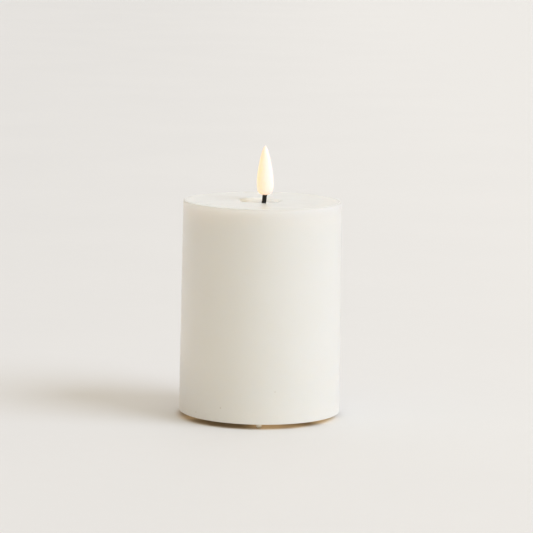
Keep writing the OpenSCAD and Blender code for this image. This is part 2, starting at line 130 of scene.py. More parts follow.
# wick and flame, in mm: the wick's middle is at x = WICK_CROSS[0] at the height WICK_CROSS[1]
WICK_LEAN = math.radians(6.26)
WICK_CROSS = (1.0, 102.7)
WICK_RADIUS = 1.1
WICK_BORE = 0.66
WICK_UNDER_TOP = 14.6
WICK_OVER_TOP = 4.5
WICK_STEPS = 96
FLAME_TILT = math.radians(-0.7)
FLAME_WALL = 1.1
FLAME_OVER_TOP = 2.6
FLAME_HEIGHT = 22.7
FLAME_RADIUS = 3.93
FLAME_BELLY = 6.3
FLAME_SOLID_TIP = 3.4
FLAME_TURNS = 96

# what the flame gives off, with painted shading from its left to its right, what its plastic looks like unlit,
# and the wick
FLAME_GLOW = 0.47
# painted shading: each glow changes colour from the flame's left to its lit right
FLAME_BODY_GLOW = ((1.0, 0.69, 0.10), (1.0, 0.50, 0.37))
FLAME_FOOT_GLOW = ((1.0, 0.61, 0.14), (1.0, 0.52, 0.30))
FLAME_HAZE_GLOW = (1.0, 0.68, 0.34)
FLAME_LOW_COLOUR = (0.80, 0.77, 0.785)
FLAME_HIGH_COLOUR = (0.80, 0.775, 0.795)
WICK_DARK = (0.004, 0.0035, 0.003)
WICK_LIGHT = (0.018, 0.016, 0.014)

# base unit, with the batteries lying along its own x, in mm
BASE_TURN = math.radians(45)
CELL_ENDS = (-23.3, 26.2)
CELL_RADIUS = 7.25
CELL_ACROSS = 7.6
CELL_HEIGHT = 12.15
CELL_TURNS = 96
SLEEVE_LIP = 6.1
NUB_RADIUS = 2.75
CELL_INK = (0.035, 0.055, 0.085)
CELL_PALE = (0.62, 0.64, 0.66)
CELL_WORN = (0.12, 0.13, 0.15)
# under this height the moulded feet of the base are paler than the plate, in mm
FEET_TOP = 2.5

# how wide the rounded edges of moulded and pressed parts are, in mm
EDGE_WIDTHS = {
    "base_plate": 0.15, "battery_door": 0.15, "battery_housing": 0.2, "door_latch": 0.12,
    "inner_sleeve": 0.15, "wick_holder": 0.15, "switch_knob": 0.12, "switch_slider": 0.1,
    "switch_body": 0.15, "switch_terminals": 0.04, "positive_contact": 0.05, "negative_contact": 0.05,
    "bridge_contact": 0.05, "circuit_board": 0.05, "controller_chip": 0.08, "timing_crystal": 0.15,
    "smoothing_capacitor": 0.1, "board_resistors": 0.04, "housing_screws": 0.06, "board_screws": 0.05,
    "led_legs": 0.03,
}
TUBES = ["battery_wire_red", "battery_wire_black", "led_wire_red", "led_wire_black", "negative_spring",
         "bridge_spring"]

# floor, in metres: rings of its mesh, its colours, and how far either side of the candle they blend
FLOOR_RINGS = [0.0, 0.05, 0.15, 0.4, 1.0, 2.5, 6.0, 14.0, 30.0]
FLOOR_TURNS = 96
# painted light: the floor is darker on the left and brighter on the right, where the key comes from
FLOOR_LEFT_PAINTED_SHADE = (0.762, 0.752, 0.738)
FLOOR_RIGHT_PAINTED_LIGHT = (0.838, 0.826, 0.806)
# painted shadow: the dark warm floor under the wax
FLOOR_PAINTED_SHADOW_UNDER_WAX = (0.60, 0.47, 0.33)
FLOOR_FADE = 0.34
# the painted shadow on the floor under the wax, warm as if lit through the wax: its middle, and how far inside
# and outside the wax it fades, in mm
PAINTED_SHADOW_MIDDLE = (-1.6, 0.0, 0.0)
UNDER_INSIDE = 4.5
UNDER_OUTSIDE = 1.4

# light: the backdrop as the camera sees it, the room's even part and its part from each side, and the key
BACKDROP = (0.792, 0.765, 0.722, 1.0)
ROOM_EVEN = (0.43, 0.386, 0.297)
ROOM_SIDES = [
    ((-1.0, 0.0, 0.0), (0.03, 0.02, 0.06)),
    ((0.0, 1.0, 0.0), (0.258, 0.334, 0.436)),
    ((0.0, -1.0, 0.0), (0.035, 0.068, 0.0)),
    ((0.0, 0.0, 1.0), (0.398, 0.345, 0.312)),
]
KEY_COLOUR = (0.72, 0.82, 1.0)
KEY_STRENGTH = 1.83
KEY_AZIMUTH = math.radians(-26)
KEY_HEIGHT = math.radians(40)
KEY_SOFTNESS = math.radians(38)
# warm light that comes out of the wax at its foot: place and radius in mm, and power
GLOW_COLOUR = (1.0, 0.86, 0.60)
GLOWS = [
    ((0.0, 0.0, 2.34), 36.0, 0.0005),
    ((4.0, -28.5, 2.32), 8.0, 0.00024),
    ((28.5, -16.0, 2.30), 5.0, 0.00011),
    ((17.0, -28.0, 2.28), 5.0, 0.00007),
    ((32.0, -8.0, 2.26), 5.0, 0.00008),
    ((-31.0, -10.0, 2.24), 5.0, 0.00007),
]

TURN = Matrix.Rotation(BASE_TURN, 4, "Z")

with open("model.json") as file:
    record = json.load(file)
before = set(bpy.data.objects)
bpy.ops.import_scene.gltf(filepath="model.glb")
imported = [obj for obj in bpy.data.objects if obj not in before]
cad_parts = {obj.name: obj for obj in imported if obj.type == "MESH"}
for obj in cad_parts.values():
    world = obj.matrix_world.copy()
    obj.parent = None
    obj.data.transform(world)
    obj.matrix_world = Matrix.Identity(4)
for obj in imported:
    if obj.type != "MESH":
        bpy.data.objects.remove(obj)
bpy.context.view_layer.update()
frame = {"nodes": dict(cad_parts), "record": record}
wax_low, wax_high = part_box("wax_pillar")
flame_low, flame_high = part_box("flame_bulb")
WAX_TOP = wax_high[2] / MM
WAX_BOTTOM = wax_low[2] / MM
WAX_RADIUS = wax_high[0] / MM


# ---- node helpers ----


def add_node(tree, kind, inputs=None, **settings):
    """Adds a node; inputs maps a socket's name or index to a value or to the socket it is linked from."""
    n = tree.nodes.new(kind)
    for key, value in settings.items():
        setattr(n, key, value)
    for key, value in (inputs or {}).items():
        if isinstance(value, bpy.types.NodeSocket):
            tree.links.new(value, n.inputs[key])
        else:
            n.inputs[key].default_value = value
    return n


class Shade:
    """One procedural material and short ways to add nodes to it."""

    def __init__(self, name):
        self.mat = bpy.data.materials.new(name)
        self.mat.use_nodes = True
        self.tree = self.mat.node_tree
        self.bsdf = self.tree.nodes["Principled BSDF"]
        self.coord = self.tree.nodes.new("ShaderNodeTexCoord").outputs["Object"]

    def set(self, **values):
        """Constant values of the shader's own sockets, with _ for the spaces in their names."""
        for key, value in values.items():
            self.bsdf.inputs[key.replace("_", " ")].default_value = value
        return self

    def node(self, kind, inputs=None, **settings):
        return add_node(self.tree, kind, inputs, **settings)

    def noise(self, size_mm, detail=3.0, rough=0.5, at=None):
        return self.node(
            "ShaderNodeTexNoise",
            {"Vector": at or self.coord, "Scale": 1000.0 / size_mm, "Detail": detail, "Roughness": rough},
        ).outputs["Fac"]

    def cells(self, size_mm):
        n = self.node("ShaderNodeTexVoronoi", {"Vector": self.coord, "Scale": 1000.0 / size_mm})
        return n.outputs["Distance"], n.outputs["Color"]

    def math(self, how, a, b=0.0, clamp=False):
        return self.node("ShaderNodeMath", {0: a, 1: b}, operation=how, use_clamp=clamp).outputs[0]

    def span(self, value, low, high, to_low=0.0, to_high=1.0):
        """Goes smoothly from to_low at low to to_high at high, and stays there beyond them."""
        return self.node(
            "ShaderNodeMapRange",
            {"Value": value, "From Min": low, "From Max": high, "To Min": to_low, "To Max": to_high},
            interpolation_type="SMOOTHSTEP",
        ).outputs["Result"]

    def mix(self, fac, a, b):
        """Colour a where fac is 0 and b where it is 1; each is a socket or three numbers."""
        n = self.node("ShaderNodeMix", {"Factor": fac}, data_type="RGBA")
        for key, value in ((6, a), (7, b)):
            if isinstance(value, bpy.types.NodeSocket):
                self.tree.links.new(value, n.inputs[key])
            else:
                n.inputs[key].default_value = (*value, 1.0)
        return n.outputs[2]

    def axis(self, letter):
        return self.node("ShaderNodeSeparateXYZ", {0: self.coord}).outputs[letter]

    def along(self, direction):
        """How far a point lies along a direction from the origin."""
        inputs = {0: self.coord, 1: tuple(direction)}
        return self.node("ShaderNodeVectorMath", inputs, operation="DOT_PRODUCT").outputs["Value"]

    def radius(self):
        """Distance from the candle's axis."""
        flat = self.stretched(1.0, 1.0, 0.0)
        return self.node("ShaderNodeVectorMath", {0: flat}, operation="LENGTH").outputs["Value"]

    def stretched(self, x, y, z):
        return self.node("ShaderNodeMapping", {"Vector": self.coord, "Scale": (x, y, z)}).outputs["Vector"]

    def link(self, value, key):
        self.tree.links.new(value, self.bsdf.inputs[key])

    def bump(self, height, depth_mm, strength=1.0):
        n = self.node("ShaderNodeBump", {"Height": height, "Strength": strength, "Distance": depth_mm * MM})
        self.link(n.outputs["Normal"], "Normal")


# ---- materials ----


def wax_zones(s):
    """Where each zone of the wax is, from 0 to 1: those coloured on the side, rim and hollow place painted
    light and shade. skin and sole are where scattering fades out.
    """
    height, across, radius = s.axis("Z"), s.axis("X"), s.radius()
    top, low = wax_high[2], wax_low[2]
    edge = (TOP_EDGE_RADIUS - RIM_RADIUS) * MM
    blur = 0.2 * MM

    def both(a, b):
        return s.math("MULTIPLY", a, b)

    def side_to_side(ends, to_low=0.0, to_high=1.0):
        return s.span(across, ends[0] * MM, ends[1] * MM, to_low, to_high)

    rim = both(s.span(radius, edge - blur, edge + blur),
               s.span(height, top - 1.3 * RIM_RADIUS * MM, top - 0.7 * RIM_RADIUS * MM))
    face = both(s.span(radius, edge - blur, edge + blur, 1.0, 0.0),
                s.span(height, top - (FACE_REACH + 0.5) * MM, top - FACE_REACH * MM))
    return {
        # painted light: a paler band up the left edge
        "tint_patch": both(side_to_side(PAINTED_LIGHT_ACROSS, 1.0, 0.0),
                     s.span(height, low + PAINTED_LIGHT_FROM * MM, low + PAINTED_LIGHT_FULL * MM)),
        # painted shade: darker low on the left
        "foot": both(s.span(height, low, low + FOOT_HEIGHT * MM, 1.0, 0.0),
                     side_to_side(FOOT_ACROSS, 1.0, 0.0)),
        # painted shading under the top
        "shoulder": s.span(height, top - SHOULDER_HEIGHT * MM, top - RIM_RADIUS * MM),
        "shoulder_right": side_to_side(SHOULDER_ACROSS),
        # painted shade on the rounded rim
        "rim": rim,
        "rim_right": side_to_side(RIM_ACROSS),
        "face": face,
        # painted shade deep in the hollow
        "pool": both(face, s.span(height, top - POOL_FULL * MM, top - POOL_FROM * MM, 1.0, 0.0)),
        "skin": both(s.span(radius, edge - RIM_SOLID * MM, edge), s.span(height, top - RIM_RADIUS * MM, top)),
        "sole": s.span(height, low + 0.2 * MM, low + FOOT_SOLID * MM, 1.0, 0.0),
    }


def wax_specks(s):
    """A thin even scatter of specks and the ones in SPECKS, from 0 to 1."""
    distance, pick = s.cells(SCATTER_CELL)
    chosen = s.span(s.node("ShaderNodeSeparateColor", {0: pick}).outputs[0], *SCATTER_CHOSEN)
    speck = s.math("MULTIPLY", s.span(distance, *SCATTER_DOT, 1.0, 0.0), chosen)
    for place, strength in SPECKS:
        near = s.node("ShaderNodeVectorMath", {0: s.coord, 1: Vector(place) * MM}, operation="DISTANCE")
        dot = s.span(near.outputs["Value"], SPECK_FULL * MM, SPECK_GONE * MM, strength, 0.0)
        speck = s.math("MAXIMUM", speck, dot)
    return speck


def wax_material():
    """Poured wax: light sinks in, the sides are satin, the top is smoother, the trimmed rim is matt; its side,
    rim and hollow colours paint in light and shade.
    """
    s = Shade("wax").set(
        Subsurface_Scale=WAX_SCATTER_DEPTH, Subsurface_Radius=WAX_SCATTER, IOR=1.44, Specular_IOR_Level=0.5,
    )
    s.bsdf.subsurface_method = "BURLEY"
    zones = wax_zones(s)
    # scattering ends before the sharp edges, where it would draw a bright line
    edges = s.math("MAXIMUM", zones["skin"], zones["sole"])
    s.link(s.math("SUBTRACT", 1.0, edges), "Subsurface Weight")
    tone = s.mix(s.span(s.noise(24, 2, 0.5), 0.25, 0.75), WAX_LIGHT, WAX_DARK)
    # painted shading under the top, going from the left to the lit right
    shoulder = s.mix(zones["shoulder_right"], WAX_SHOULDER_PAINTED_SHADING_LEFT, WAX_SHOULDER_PAINTED_SHADING_RIGHT)
    # painted shade on the rim, going from the left to the lit right
    rim = s.mix(zones["rim_right"], WAX_RIM_PAINTED_SHADE_LEFT, WAX_RIM_PAINTED_SHADE_RIGHT)
    # painted light and shade in every zone colour here but the top face's
    for zone, colour in (("tint_patch", WAX_LEFT_EDGE_PAINTED_LIGHT), ("foot", WAX_FOOT_PAINTED_SHADE), ("shoulder", shoulder), ("rim", rim),
                         ("face", WAX_FACE), ("pool", WAX_POOL_PAINTED_SHADE)):
        tone = s.mix(zones[zone], tone, colour)
    speck = wax_specks(s)
    s.link(s.mix(speck, tone, WAX_SPECK), "Base Color")
    grain = s.noise(0.9, 2, 0.5)
    rough = s.span(s.noise(16, 1, 0.4), 0.2, 0.8, WAX_ROUGH, WAX_ROUGH + 0.012)
    for part, change in ((grain, 0.006), (zones["rim"], WAX_RIM_ROUGH - WAX_ROUGH),
                         (zones["face"], WAX_FACE_ROUGH - WAX_ROUGH),
                         (zones["pool"], WAX_POOL_ROUGH - WAX_FACE_ROUGH)):
        rough = s.math("ADD", rough, s.math("MULTIPLY", part, change))
    s.link(rough, "Roughness")
    relief = s.math("ADD", s.math("MULTIPLY", s.noise(16, 1, 0.4), 0.25), s.math("MULTIPLY", grain, 0.04))
    relief = s.math("SUBTRACT", relief, s.math("MULTIPLY", speck, 0.15))
    s.bump(relief, 0.15, 0.3)
    return s.mat


def flame_material():
    """Milky plastic lit from inside, amber at its foot; its amber left and pinker right are painted shading.
    """
    s = Shade("flame").set(
        Subsurface_Weight=0.35, Subsurface_Scale=0.0015, Subsurface_Radius=(1.0, 0.8, 0.45),
        IOR=1.49, Coat_Weight=0.2, Coat_Roughness=0.1, Emission_Strength=FLAME_GLOW,
    )
    height = s.span(s.axis("Z"), flame_low[2], flame_high[2])
    across = s.span(s.axis("X"), flame_low[0] + 0.6 * MM, flame_high[0] - 1.2 * MM)
    tint_patch = s.span(s.noise(3.0, 2, 0.5), 0.35, 0.65, 0.0, 0.12)
    # painted shading: the glow's colour goes from the left side to the right
    body = s.mix(across, *FLAME_BODY_GLOW)
    foot = s.mix(across, *FLAME_FOOT_GLOW)
    glow = s.mix(s.span(height, 0.04, 0.45), foot, body)
    s.link(s.mix(tint_patch, glow, FLAME_HAZE_GLOW), "Emission Color")
    s.link(s.mix(height, FLAME_LOW_COLOUR, FLAME_HIGH_COLOUR), "Base Color")
    s.link(s.span(s.noise(0.9, 3, 0.6), 0.3, 0.7, 0.18, 0.24), "Roughness")
    s.bump(s.noise(2.2, 2, 0.5), 0.05, 0.35)
    return s.mat


def wick_material():
    """Black braided cord: fibres that run along it, nearly matt."""
    s = Shade("wick").set(Specular_IOR_Level=0.35, IOR=1.45)
    fibre = s.noise(0.28, 4, 0.65, s.stretched(1.0, 1.0, 0.22))
    s.link(s.mix(s.span(fibre, 0.35, 0.7), WICK_DARK, WICK_LIGHT), "Base Color")
    s.link(s.span(s.noise(0.5, 2), 0.3, 0.7, 0.38, 0.6), "Roughness")
    s.bump(fibre, 0.06, 0.8)
    return s.mat


def moulded(name, light, dark, rough, grain_mm=0.35, depth_mm=0.02, worn=None, feet=None):
    """Injection-moulded plastic: fine spark-eroded grain, slow colour drift, faint scuffs."""
    s = Shade(name).set(IOR=1.5)
    drift = s.span(s.noise(14, 3), 0.3, 0.7)
    colour = s.mix(drift, light, dark)
    scuff = s.noise(1.4, 4, 0.7, s.stretched(1.0, 0.25, 1.0))
    if worn:
        colour = s.mix(s.span(scuff, 0.64, 0.72), colour, worn)
    if feet:
        low = s.span(s.axis("Z"), FEET_TOP * MM, (FEET_TOP + 0.25) * MM, 1.0, 0.0)
        colour = s.mix(low, colour, feet)
    s.link(colour, "Base Color")
    s.link(s.math("ADD", s.span(s.noise(3.5, 3), 0.3, 0.7, rough - 0.05, rough + 0.06),
                  s.span(scuff, 0.6, 0.75, 0.0, 0.08)), "Roughness")
    s.bump(s.noise(grain_mm, 2, 0.6), depth_mm, 0.6)
    return s.mat


def sheet_metal(name, light, dark, rough, brush=(1.0, 1.0, 0.06)):
    """Plated or rolled metal: faint tarnish, and streaks along the axis that brush squeezes."""
    s = Shade(name).set(Metallic=1.0)
    streak = s.noise(0.35, 3, 0.6, s.stretched(*brush))
    tarnish = s.span(s.noise(2.6, 4, 0.6), 0.45, 0.75)
    s.link(s.mix(tarnish, light, dark), "Base Color")
    brushed = s.span(streak, 0.3, 0.7, rough - 0.06, rough + 0.08)
    s.link(s.math("ADD", brushed, s.math("MULTIPLY", tarnish, 0.08)), "Roughness")
    s.bump(streak, 0.008, 0.5)
    return s.mat


def board_material():
    """Green solder mask over traces, with the weave of the board showing through."""
    s = Shade("board").set(IOR=1.5, Coat_Weight=0.3, Coat_Roughness=0.12)
    bricks = {"Vector": s.coord, "Scale": 420.0, "Mortar Size": 0.09}
    weave = s.node("ShaderNodeTexBrick", bricks).outputs["Fac"]
    trace = s.cells(3.2)[0]
    colour = s.mix(s.span(trace, 0.42, 0.46), (0.025, 0.20, 0.085), (0.045, 0.30, 0.13))
    s.link(s.mix(s.math("MULTIPLY", weave, 0.15), colour, (0.02, 0.13, 0.06)), "Base Color")
    s.link(s.span(s.noise(2, 3), 0.3, 0.7, 0.26, 0.36), "Roughness")
    s.bump(s.math("ADD", s.math("MULTIPLY", weave, 0.2), s.span(trace, 0.42, 0.46)), 0.03, 0.5)
    return s.mat


def lens_material():
    """The LED's warm clear dome."""
    s = Shade("led").set(IOR=1.54, Transmission_Weight=0.35, Emission_Strength=0.4)
    low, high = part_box("flame_led")
    height = s.span(s.axis("Z"), low[2], high[2])
    s.link(s.mix(height, (1.0, 0.72, 0.34), (1.0, 0.86, 0.55)), "Emission Color")
    s.link(s.mix(height, (1.0, 0.85, 0.55), (1.0, 0.93, 0.75)), "Base Color")
    s.link(s.span(s.noise(0.8, 2), 0.3, 0.7, 0.08, 0.16), "Roughness")
    s.bump(s.noise(0.6, 2), 0.01, 0.3)
    return s.mat


def cell_material():
    """Printed sleeve: a slate-blue can, pale at its positive end, with a thin pale band near either end."""
    s = Shade("cell").set(IOR=1.5, Coat_Weight=0.5, Coat_Roughness=0.12)
    side = s.math("SIGN", s.along(TURN @ Vector((0, 1, 0))))
    along = s.math("MULTIPLY", s.along(TURN @ Vector((1, 0, 0))), side)

    def band(start, end):
        """A printed ring round the can; start and end in mm from the middle of the base."""
        begun = s.span(along, start * MM, (start + 0.1) * MM)
        return s.math("MULTIPLY", begun, s.span(along, (end - 0.1) * MM, end * MM, 1.0, 0.0))

    colour = s.mix(s.span(along, 13.0 * MM, 13.1 * MM), CELL_INK, CELL_PALE)
    colour = s.mix(s.math("ADD", band(11.2, 12.0), band(-20.6, -19.5)), colour, CELL_PALE)
    worn = s.span(s.noise(0.9, 4, 0.7), 0.55, 0.8, 0.0, 0.25)
    s.link(s.mix(worn, colour, CELL_WORN), "Base Color")
    s.link(s.span(s.noise(2.4, 3), 0.3, 0.7, 0.24, 0.36), "Roughness")
    s.bump(s.noise(1.6, 3, 0.6), 0.02, 0.4)
    return s.mat


ALONG_X, EVEN = (0.06, 1.0, 1.0), (1.0, 1.0, 1.0)

MATERIALS = {
    "wax": wax_material(),
    "flame": flame_material(),
    "wick": wick_material(),
    "led": lens_material(),
    "tinned": sheet_metal("tinned", (0.80, 0.79, 0.76), (0.62, 0.60, 0.55), 0.30),
    "core": moulded("core", (0.90, 0.90, 0.88), (0.86, 0.86, 0.83), 0.46),
    "base": moulded("base", (0.78, 0.71, 0.61), (0.75, 0.68, 0.575), 0.44, grain_mm=0.4, depth_mm=0.03,
                    worn=(0.70, 0.63, 0.53), feet=(0.90, 0.87, 0.81)),
    "housing": moulded("housing", (0.030, 0.030, 0.032), (0.022, 0.022, 0.024), 0.42, grain_mm=0.4,
                       depth_mm=0.03, worn=(0.06, 0.06, 0.062)),
    "cell": cell_material(),
    "spring": sheet_metal("spring", (0.82, 0.81, 0.78), (0.66, 0.64, 0.60), 0.24),
    "board": board_material(),
    "chip": moulded("chip", (0.020, 0.020, 0.022), (0.028, 0.028, 0.03), 0.5, grain_mm=0.2),
    "can": sheet_metal("can", (0.83, 0.84, 0.86), (0.70, 0.71, 0.74), 0.22, ALONG_X),
    "capacitor": moulded("capacitor", (0.03, 0.04, 0.13), (0.02, 0.03, 0.10), 0.3, grain_mm=0.6,
                         depth_mm=0.01),
    "switch_can": sheet_metal("switch_can", (0.76, 0.76, 0.77), (0.60, 0.60, 0.60), 0.32, ALONG_X),
    "slider": moulded("slider", (0.020, 0.020, 0.021), (0.015, 0.015, 0.016), 0.38),
    "knob": moulded("knob", (0.90, 0.89, 0.85), (0.87, 0.86, 0.81), 0.3, grain_mm=0.3, depth_mm=0.01,
                    worn=(0.72, 0.70, 0.66)),
    "screw": sheet_metal("screw", (0.74, 0.74, 0.76), (0.58, 0.57, 0.55), 0.28, EVEN),
    "wire_red": moulded("wire_red", (0.56, 0.02, 0.015), (0.46, 0.015, 0.012), 0.36, grain_mm=0.5,
                        depth_mm=0.01),
    "wire_black": moulded("wire_black", (0.016, 0.016, 0.017), (0.024, 0.024, 0.025), 0.36, grain_mm=0.5,
                          depth_mm=0.01),
}


def dress_cad_nodes():
    """Every CAD node takes the material of its own slot, and modifiers round its edges or smooth its tube."""
    for row in frame["record"]["subparts"]:
        obj = frame["nodes"][row["node"]]
        material = MATERIALS[row["material_slot"]]
        if not obj.material_slots:
            obj.data.materials.append(material)
        for slot in obj.material_slots:
            slot.material = material
    for node, width in EDGE_WIDTHS.items():
        obj = welded(node)
        bevel = obj.modifiers.new("edges", "BEVEL")
        bevel.width, bevel.segments = width * MM, 2
        bevel.limit_method, bevel.angle_limit = "ANGLE", math.radians(35)
        bevel.harden_normals = True
    for node in TUBES:
        smooth = welded(node).modifiers.new("round", "SUBSURF")
        smooth.levels = smooth.render_levels = 2


def welded(node):
    """Joins the corners the CAD mesh stores apart, so that the next modifier sees one skin."""
    obj = frame["nodes"][node]
    obj.data.shade_smooth()
    stored = obj.data.attributes.get("custom_normal")
    if stored:
        obj.data.attributes.remove(stored)
    obj.modifiers.new("weld", "WELD").merge_threshold = 1e-6
    return obj


# ---- geometry helpers ----


def finish_mesh(name, bm, body, slot, replaces, smooth, extra_materials=()):
    """Makes a piece of a built mesh: its skin is cleaned, and edges over smooth degrees stay sharp."""
    bmesh.ops.remove_doubles(bm, verts=bm.verts, dist=1e-7)
    bmesh.ops.recalc_face_normals(bm, faces=bm.faces)
    mesh = bpy.data.meshes.new(name)
    bm.to_mesh(mesh)
    bm.free()
    obj = bpy.data.objects.new(name, mesh)
    bpy.context.scene.collection.objects.link(obj)
    for material in (MATERIALS[slot], *extra_materials):
        mesh.materials.append(material)
    mesh.shade_smooth()
    mesh.set_sharp_from_angle(angle=math.radians(smooth))
    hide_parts(*replaces)
    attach(obj, body)
    return obj


def curve_points(p, q, r, s, n):
    """n + 1 points along the cubic curve from p to s with the handles q and r."""
    out = []
    for i in range(n + 1):
        t = i / n
        u = 1 - t
        weights = (u**3, 3 * u * u * t, 3 * u * t * t, t**3)
        out.append(tuple(sum(w * v for w, v in zip(weights, values)) for values in zip(p, q, r, s)))
    return out


def arc(cx, cy, r, start, end, n):
    """n + 1 points on a circle, from one angle to another in degrees."""
    turns = [math.radians(start + (end - start) * i / n) for i in range(n + 1)]
    return [(cx + r * math.cos(a), cy + r * math.sin(a)) for a in turns]


def run(a, b, n):
    """n even steps from a to b, leaving both ends out."""
    return [(a[0] + (b[0] - a[0]) * i / n, a[1] + (b[1] - a[1]) * i / n) for i in range(1, n)]


def lathe(bm, profile, turns, place=None, shape=None, closed=False):
    """Turns a profile of (radius, height) in mm about Z. A radius of 0 makes one point on the axis.

    place moves the result, shape(r, z, angle) may move a point a little, and closed joins the profile's ends.
    """
    rings = []
    for r, z in profile:
        if r < 1e-6:
            p = Vector((0, 0, z * MM))
            rings.append([bm.verts.new(place @ p if place else p)])
            continue
        ring = []
        for k in range(turns):
            a = 2 * math.pi * k / turns
            rr, zz = shape(r, z, a) if shape else (r, z)
            p = Vector((rr * MM * math.cos(a), rr * MM * math.sin(a), zz * MM))
            ring.append(bm.verts.new(place @ p if place else p))
        rings.append(ring)
    pairs = list(zip(rings, rings[1:]))
    if closed:
        pairs.append((rings[-1], rings[0]))
    for low, high in pairs:
        for k in range(turns):
            j = (k + 1) % turns
            if len(low) == 1:
                bm.faces.new((low[0], high[j], high[k]))
            elif len(high) == 1:
                bm.faces.new((low[k], low[j], high[0]))
            else:
                bm.faces.new((low[k], low[j], high[j], high[k]))


def swept(bm, path, section):
    """An open tube along path (Vectors, metres); section(i, angle) gives its radius in mm."""
    rings, side = [], None
    for i, p in enumerate(path):
        ahead = (path[min(i + 1, len(path) - 1)] - path[max(i - 1, 0)]).normalized()
        side = (side or ahead.orthogonal()) - ahead * (side or ahead.orthogonal()).dot(ahead)
        side.normalize()
        up = ahead.cross(side)
        ring = []
        for k in range(section.sides):
            a = 2 * math.pi * k / section.sides
            ring.append(bm.verts.new(p + (side * math.cos(a) + up * math.sin(a)) * section(i, a) * MM))
        rings.append(ring)
    for low, high in zip(rings, rings[1:]):
        for k in range(section.sides):
            j = (k + 1) % section.sides
            bm.faces.new((low[k], low[j], high[j], high[k]))


# ---- wax ----


def clamp(value, most=1.0):
    """value, but not under 0 or over most."""
    return min(most, max(0.0, value))


def side_dent(x, y, z, a):
    """How far the side is moved in at a point: a slow wave, and the marks of trimming near the rim."""
    dent = SIDE_DENT + SIDE_DENT * noise.noise(Vector((x * 1.7, y * 1.7, z * 0.025)))
    if z > WAX_TOP - RIM_ZONE:
        rougher = max(0.0, math.cos(a - RIM_ROUGHEST)) ** 2
        chips = noise.noise(Vector((x * 34, y * 34, z * 0.9)))
        fine = noise.noise(Vector((x * 90, y * 90, z * 2.0)))
        dent += ((RIM_CHIPS[0] + RIM_CHIPS[1] * rougher) * max(0.0, chips)
                 + (RIM_MARKS[0] + RIM_MARKS[1] * rougher) * max(0.0, fine))
    return dent


def wax_shape(r, z, a):
    """Small unevenness of a poured and trimmed pillar: always inwards, so the size stays."""
    x, y = math.cos(a), math.sin(a)
    if r < REBATE_RADIUS and z < WAX_TOP - 4:
        return r, z
    dent = side_dent(x, y, z, a) if r > TOP_EDGE_RADIUS - 2.5 else 0.0
    drop = 0.0
    if z > WAX_TOP - 3.5 and r < TOP_EDGE_RADIUS - 0.4:
        drop = FACE_DROP + FACE_DROP * noise.noise(Vector((x * r * 0.11, y * r * 0.11, 3.0)))
        if r < CRATER_RADIUS + 1.5:
            wobble = noise.noise(Vector((x * 1.3 + 5.0, y * 1.3, 0.0)))
            silted = clamp(SILTED_MEAN + SILTED_SWING * math.cos(a - SILTED_SIDE), SILTED_MOST)
            silted *= clamp((r - SILTED_FROM) / SILTED_OVER)
            z += (WAX_TOP - z) * silted
            return r + CRATER_WOBBLE * wobble * min(1.0, r / CRATER_RADIUS), z - drop
    return r - dent, z - drop


def build_wax():
    """The pillar as one closed turned skin: outside, top, hollow, the wick's hole and the stepped bore."""
    rim_r = TOP_EDGE_RADIUS - RIM_RADIUS
    rim_z = WAX_TOP - RIM_RADIUS
    floor_z = WAX_TOP - CRATER_DEPTH
    foot = arc(WAX_RADIUS - BOTTOM_EDGE, WAX_BOTTOM + BOTTOM_EDGE, BOTTOM_EDGE, -90, 0, 6)
    rim = arc(rim_r, rim_z, RIM_RADIUS, 0, 90, 8)
    lip = (CRATER_RADIUS + 0.9, WAX_TOP)
    crater = curve_points(lip, (CRATER_RADIUS + 0.1, WAX_TOP), (CRATER_RADIUS - 0.5, WAX_TOP - 0.3),
                          (CRATER_RADIUS - 1.0, WAX_TOP - 1.1), 7)
    bowl = curve_points(crater[-1], (CRATER_RADIUS - 1.7, WAX_TOP - 2.1), (7.0, floor_z), (4.0, floor_z), 9)
    pool = curve_points(bowl[-1], (2.6, floor_z), (1.75, floor_z + 0.05), (1.45, floor_z + 0.32), 5)
    profile = [(REBATE_RADIUS, WAX_BOTTOM), *run((REBATE_RADIUS, WAX_BOTTOM), foot[0], 3), *foot,
               *run(foot[-1], rim[0], 56), *rim, *run(rim[-1], lip, 22), *crater, *bowl[1:], *pool[1:]]
    hole = [(1.3, floor_z - 0.4), (1.3, COLLAR_TOP)]
    inside = [(COLLAR_BORE, COLLAR_TOP), (COLLAR_BORE, UPPER_BORE_TOP), (UPPER_BORE, UPPER_BORE_TOP),
              (UPPER_BORE, LOWER_BORE_TOP), (LOWER_BORE, LOWER_BORE_TOP), (LOWER_BORE, REBATE_TOP),
              (REBATE_RADIUS, REBATE_TOP)]
    bm = bmesh.new()
    lathe(bm, profile + hole + inside, WAX_TURNS, shape=wax_shape, closed=True)
    lean_hole(bm)
    finish_mesh("wax_body", bm, "candle", "wax", ["wax_pillar"], 50)


def lean_hole(bm):
    """Shears the middle of the top so that the wick's hole follows the leaning wick."""
    for v in bm.verts:
        r = math.hypot(v.co.x, v.co.y) / MM
        z = v.co.z / MM
        if r < LEAN_REACH and z > COLLAR_TOP - 0.1:
            v.co.x += clamp((LEAN_REACH - r) / LEAN_FADE) * wick_x(z) * MM


# ---- flame and wick ----


def wick_x(z):
    """Where the leaning wick's middle is at a height, in mm."""
    return WICK_CROSS[0] + (z - WICK_CROSS[1]) * math.tan(WICK_LEAN)


def on_wick(z):
    """The point of the wick's middle at a height in mm, in metres."""
    return Vector((wick_x(z) * MM, 0.0, z * MM))


